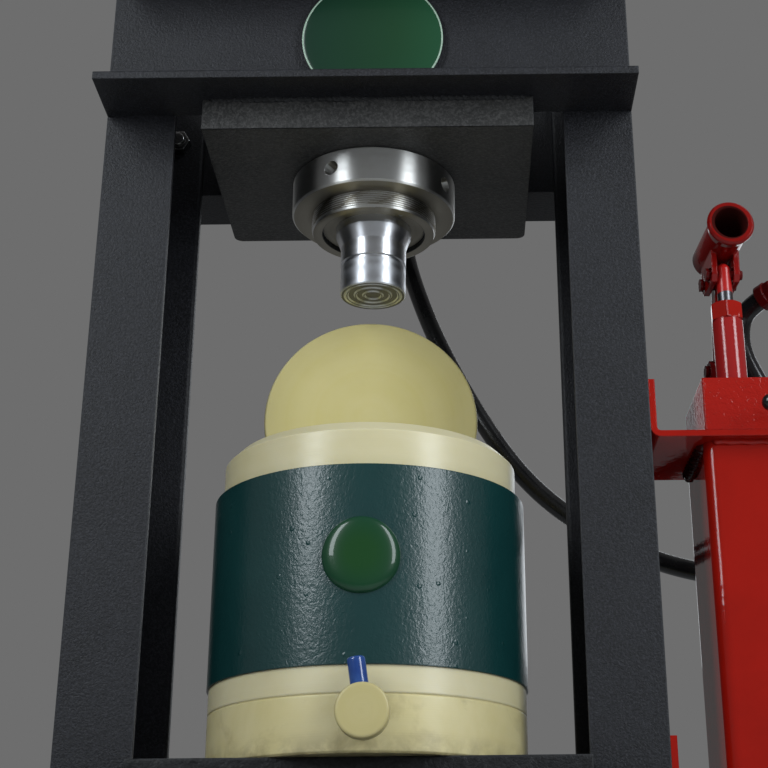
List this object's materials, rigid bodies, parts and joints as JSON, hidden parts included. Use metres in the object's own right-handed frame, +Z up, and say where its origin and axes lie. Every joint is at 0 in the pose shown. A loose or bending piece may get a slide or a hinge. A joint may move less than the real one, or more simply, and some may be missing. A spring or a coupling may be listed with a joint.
{
  "type": "hydraulic oil press",
  "caption": "Floor-standing hydraulic oil press: channel frame, ram in the crossbeam, oil vessel in a steel sleeve on the bed, hand pump with tank on the right column.",
  "frame": {"origin": "on the floor, under the ram axis, at the centre of the four anchor holes", "axes": "+Z up along the ram axis, +X to the pump side, -Y towards the operator"},
  "size_m": [0.6031, 0.52, 1.5248],
  "materials": {
    "frame_paint": "charcoal powder coat with fine orange peel, satin",
    "zinc": "zinc plated",
    "badge_green": "dark green domed resin, glossy, bare",
    "cylinder_paint": "charcoal paint, satin",
    "turned_steel": "fine turned steel",
    "chrome_rod": "hard chromed and ground",
    "seal_rubber": "black nitrile rubber",
    "spring_steel": "oiled steel",
    "pump_red": "bright red gloss enamel, slightly runny",
    "plunger_steel": "oiled ground steel, red paint on its eye",
    "fitting_steel": "dark red paint on steel",
    "black_plastic": "glossy black",
    "hose_rubber": "smooth black rubber cover, satin",
    "cream_plastic": "turned cast polyamide, cream, faint tool rings",
    "green_paint": "deep green gloss paint, lumpy, with runs",
    "blue_plastic": "glossy blue",
    "stainless": "perforated stainless"
  },
  "bodies": {
    "frame": {"left_column": "frame_paint", "right_column": "frame_paint", "front_crossbeam": "frame_paint", "rear_crossbeam": "frame_paint", "front_bed_beam": "frame_paint", "rear_bed_beam": "frame_paint", "ram_plate": "frame_paint", "bed_plate": "frame_paint", "left_foot": "frame_paint", "right_foot": "frame_paint", "rear_tie": "frame_paint", "beam_bolts": "zinc", "beam_washers": "zinc", "beam_nuts": "zinc", "crossbeam_emblem": "badge_green", "cylinder_tube": "cylinder_paint", "ring_nut": "turned_steel", "gland": "turned_steel", "rod_seal": "seal_rubber", "cylinder_cap": "cylinder_paint", "return_spring": "spring_steel", "upper_bracket": "pump_red", "lower_bracket": "pump_red", "bracket_bolts": "zinc", "oil_tank": "pump_red", "filler_plug": "zinc", "suction_tube": "spring_steel", "pump_block": "pump_red", "pump_cylinder": "pump_red", "pump_gland_nut": "pump_red", "check_balls": "spring_steel", "valve_nut": "turned_steel", "link_pin": "pump_red", "pump_link": "pump_red", "block_lug": "pump_red", "lug_pin": "pump_red", "ram_hose": "hose_rubber", "cap_fitting": "fitting_steel", "hose_end_fitting": "pump_red", "outlet_riser": "fitting_steel"},
    "ram": {"piston": "turned_steel", "piston_seal": "seal_rubber", "ram_rod": "chrome_rod", "saddle": "chrome_rod"},
    "vessel": {"oil_tray": "cream_plastic", "press_barrel": "cream_plastic", "steel_sleeve": "green_paint", "sleeve_badge": "badge_green", "filter_grid": "stainless"},
    "pressing_disc": {"pressing_disc": "cream_plastic"},
    "drain_tap": {"drain_plug": "cream_plastic", "drain_lever": "blue_plastic"},
    "handle": {"handle_socket": "pump_red"},
    "plunger": {"plunger": "plunger_steel", "plunger_pin": "pump_red"},
    "release_valve": {"valve_spindle": "turned_steel", "valve_tips": "black_plastic"}
  },
  "joints": [
    {"name": "ram_slide", "type": "slide", "parent": "frame", "child": "ram", "axis": [0, 0, -1], "range_m": [0, 0.2], "stiffness_N_per_m": 600, "springref_m": -0.25, "deforming": ["return_spring"]},
    {"name": "vessel_slide", "type": "slide", "parent": "frame", "child": "vessel", "axis": [0, -1, 0], "range_m": [0, 0.25]},
    {"name": "disc_lift", "type": "slide", "parent": "vessel", "child": "pressing_disc", "axis": [0, 0, 1], "range_m": [0, 0.05]},
    {"name": "tap_turn", "type": "hinge", "parent": "vessel", "child": "drain_tap", "pos_m": [0.0056, -0.1365, 0.723], "axis": [0, 1, 0], "range_deg": [0, 98.8]},
    {"name": "handle_pump", "type": "hinge", "parent": "frame", "child": "handle", "pos_m": [0.29453, -0.02365, 1.099], "axis": [0.9976, 0.0698, 0], "range_deg": [-30, 28]},
    {"name": "plunger_slide", "type": "slide", "parent": "frame", "child": "plunger", "axis": [0, 0, -1], "range_m": [-0.0125, 0.0125]},
    {"name": "valve_turn", "type": "hinge", "parent": "frame", "child": "release_valve", "pos_m": [0.336, -0.0776, 0.964], "axis": [0, -1, 0], "range_deg": [0, 180]}
  ],
  "couplings": [
    {"joint": "plunger_slide", "follows": "handle_pump", "m_per_rad": 0.021}
  ]
}
